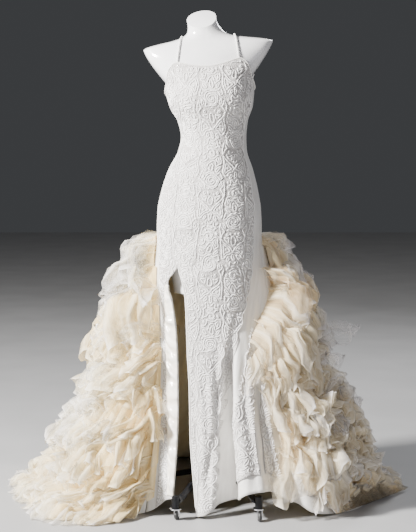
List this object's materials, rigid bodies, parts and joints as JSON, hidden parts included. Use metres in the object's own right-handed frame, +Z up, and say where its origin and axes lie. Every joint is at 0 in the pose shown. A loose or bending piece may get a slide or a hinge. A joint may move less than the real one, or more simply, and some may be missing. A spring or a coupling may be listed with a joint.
{
  "type": "mermaid evening dress on a dress form",
  "caption": "Sleeveless mermaid evening dress of corded lace over satin with a high slit and a tulle-ruffle train, standing on a limbless dress form with a castor base.",
  "frame": {"origin": "on the floor, under the middle of the whole object", "axes": "+Z up, -Y the way the dress faces, +Y the way the train spreads, +X the wearer's left"},
  "size_m": [1.3154, 1.1086, 1.5614],
  "materials": {
    "satin": "ivory duchess satin, soft sheen",
    "lace": "ivory corded lace, matt",
    "tulle": "cream and white soft tulle, translucent",
    "form_gloss": "gloss white",
    "stand_black": "gloss black",
    "chrome": "polished",
    "wheel_black": "satin black"
  },
  "bodies": {
    "dress_and_stand": {"form": "form_gloss", "form_flange": "stand_black", "hub": "stand_black", "lace_front": "lace", "lace_gore_1": "lace", "lace_gore_2": "lace", "lace_gore_3": "lace", "lace_side_left": "lace", "leg_1": "stand_black", "leg_2": "stand_black", "leg_3": "stand_black", "leg_4": "stand_black", "leg_5": "stand_black", "pole": "stand_black", "satin_back_left": "satin", "satin_back_right": "satin", "satin_front": "satin", "satin_side_left": "satin", "slit_facing": "satin", "socket_1": "stand_black", "socket_2": "stand_black", "socket_3": "stand_black", "socket_4": "stand_black", "socket_5": "stand_black", "strap_left": "lace", "strap_right": "lace", "tulle_1_left": "tulle", "tulle_1_right": "tulle", "tulle_2_left": "tulle", "tulle_2_right": "tulle", "tulle_3_left": "tulle", "tulle_3_right": "tulle", "tulle_4_left": "tulle", "tulle_4_right": "tulle", "tulle_5_left": "tulle", "tulle_5_right": "tulle", "tulle_6_left": "tulle", "tulle_6_right": "tulle", "tulle_7_left": "tulle", "tulle_7_right": "tulle"},
    "castor_1": {"fork_1": "chrome"},
    "castor_wheel_1": {"wheel_1": "wheel_black"},
    "castor_2": {"fork_2": "chrome"},
    "castor_wheel_2": {"wheel_2": "wheel_black"},
    "castor_3": {"fork_3": "chrome"},
    "castor_wheel_3": {"wheel_3": "wheel_black"},
    "castor_4": {"fork_4": "chrome"},
    "castor_wheel_4": {"wheel_4": "wheel_black"},
    "castor_5": {"fork_5": "chrome"},
    "castor_wheel_5": {"wheel_5": "wheel_black"}
  },
  "joints": [
    {"name": "castor_1_swivel", "type": "hinge", "parent": "dress_and_stand", "child": "castor_1", "pos_m": [-0.09949, -0.51048, 0.0394], "axis": [0, 0, 1], "continuous": true},
    {"name": "wheel_1_roll", "type": "hinge", "parent": "castor_1", "child": "castor_wheel_1", "pos_m": [-0.09539, -0.4992, 0.0155], "axis": [-0.9397, 0.342, 0], "continuous": true},
    {"name": "castor_2_swivel", "type": "hinge", "parent": "dress_and_stand", "child": "castor_2", "pos_m": [0.15549, -0.51048, 0.0394], "axis": [0, 0, 1], "continuous": true},
    {"name": "wheel_2_roll", "type": "hinge", "parent": "castor_2", "child": "castor_wheel_2", "pos_m": [0.15757, -0.52229, 0.0155], "axis": [0.9848, 0.1736, 0], "continuous": true},
    {"name": "castor_3_swivel", "type": "hinge", "parent": "dress_and_stand", "child": "castor_3", "pos_m": [0.23428, -0.26797, 0.0394], "axis": [0, 0, 1], "continuous": true},
    {"name": "wheel_3_roll", "type": "hinge", "parent": "castor_3", "child": "castor_wheel_3", "pos_m": [0.22389, -0.26197, 0.0155], "axis": [-0.5, -0.866, 0], "continuous": true},
    {"name": "castor_4_swivel", "type": "hinge", "parent": "dress_and_stand", "child": "castor_4", "pos_m": [0.028, -0.1181, 0.0394], "axis": [0, 0, 1], "continuous": true},
    {"name": "wheel_4_roll", "type": "hinge", "parent": "castor_4", "child": "castor_wheel_4", "pos_m": [0.02592, -0.10628, 0.0155], "axis": [-0.9848, -0.1736, 0], "continuous": true},
    {"name": "castor_5_swivel", "type": "hinge", "parent": "dress_and_stand", "child": "castor_5", "pos_m": [-0.17828, -0.26797, 0.0394], "axis": [0, 0, 1], "continuous": true},
    {"name": "wheel_5_roll", "type": "hinge", "parent": "castor_5", "child": "castor_wheel_5", "pos_m": [-0.186, -0.27717, 0.0155], "axis": [0.766, -0.6428, 0], "continuous": true}
  ]
}
